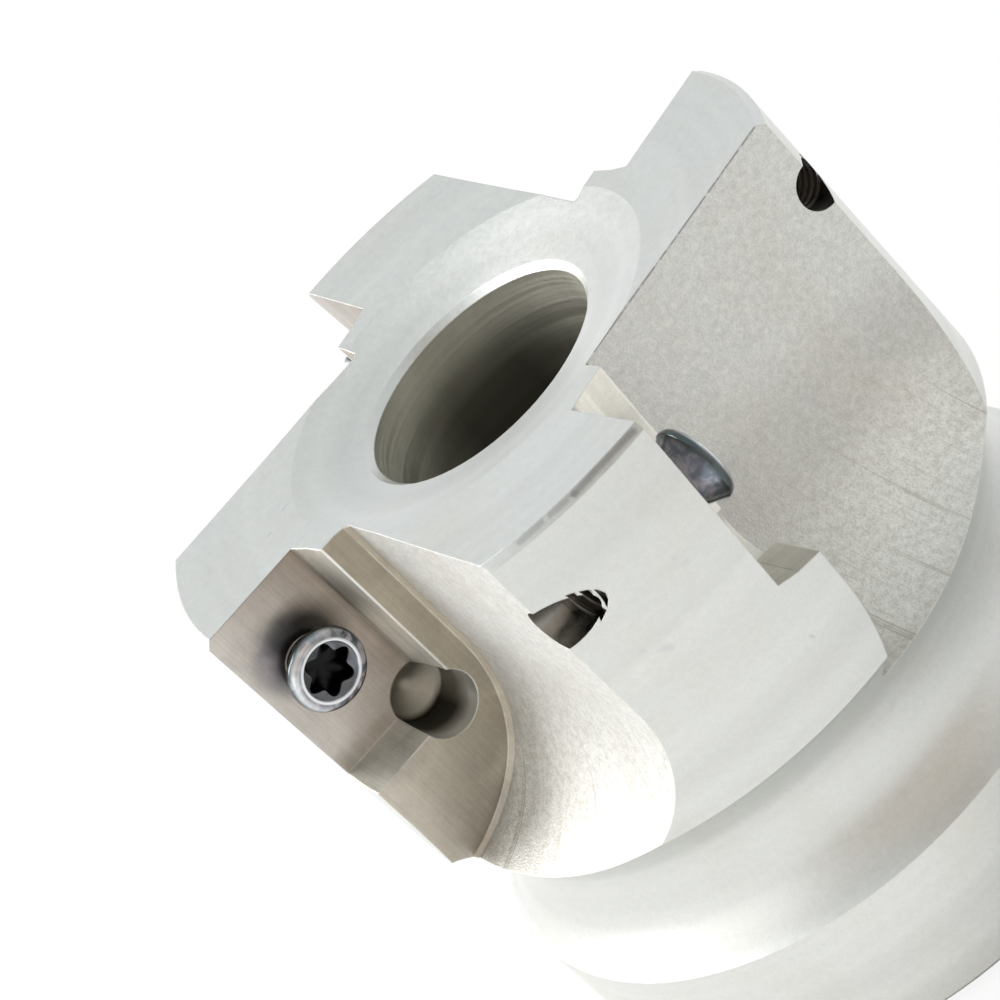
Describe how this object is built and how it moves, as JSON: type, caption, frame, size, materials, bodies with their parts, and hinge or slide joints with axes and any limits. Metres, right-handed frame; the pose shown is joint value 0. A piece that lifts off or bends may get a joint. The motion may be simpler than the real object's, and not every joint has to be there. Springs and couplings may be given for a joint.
{
  "type": "indexable face mill",
  "caption": "Right-hand square shoulder face mill body with open chip gullets, empty insert pockets and their clamping screws, bored and slotted for a shell mill arbor.",
  "frame": {"origin": "centre of the back face, which seats on the arbor", "axes": "+Z along the cutter's axis to the nose, +X through the first tooth; the cutter turns counter-clockwise seen from the nose"},
  "size_m": [0.0486, 0.0486, 0.046],
  "materials": {
    "cutter_body": "satin nickel over fine milled and blasted steel",
    "insert_screw": "bright polished head with a dark socket"
  },
  "bodies": {
    "root": {"cutter_body": "cutter_body", "insert_screw_1": "insert_screw", "insert_screw_2": "insert_screw", "insert_screw_3": "insert_screw", "insert_screw_4": "insert_screw"}
  },
  "joints": []
}
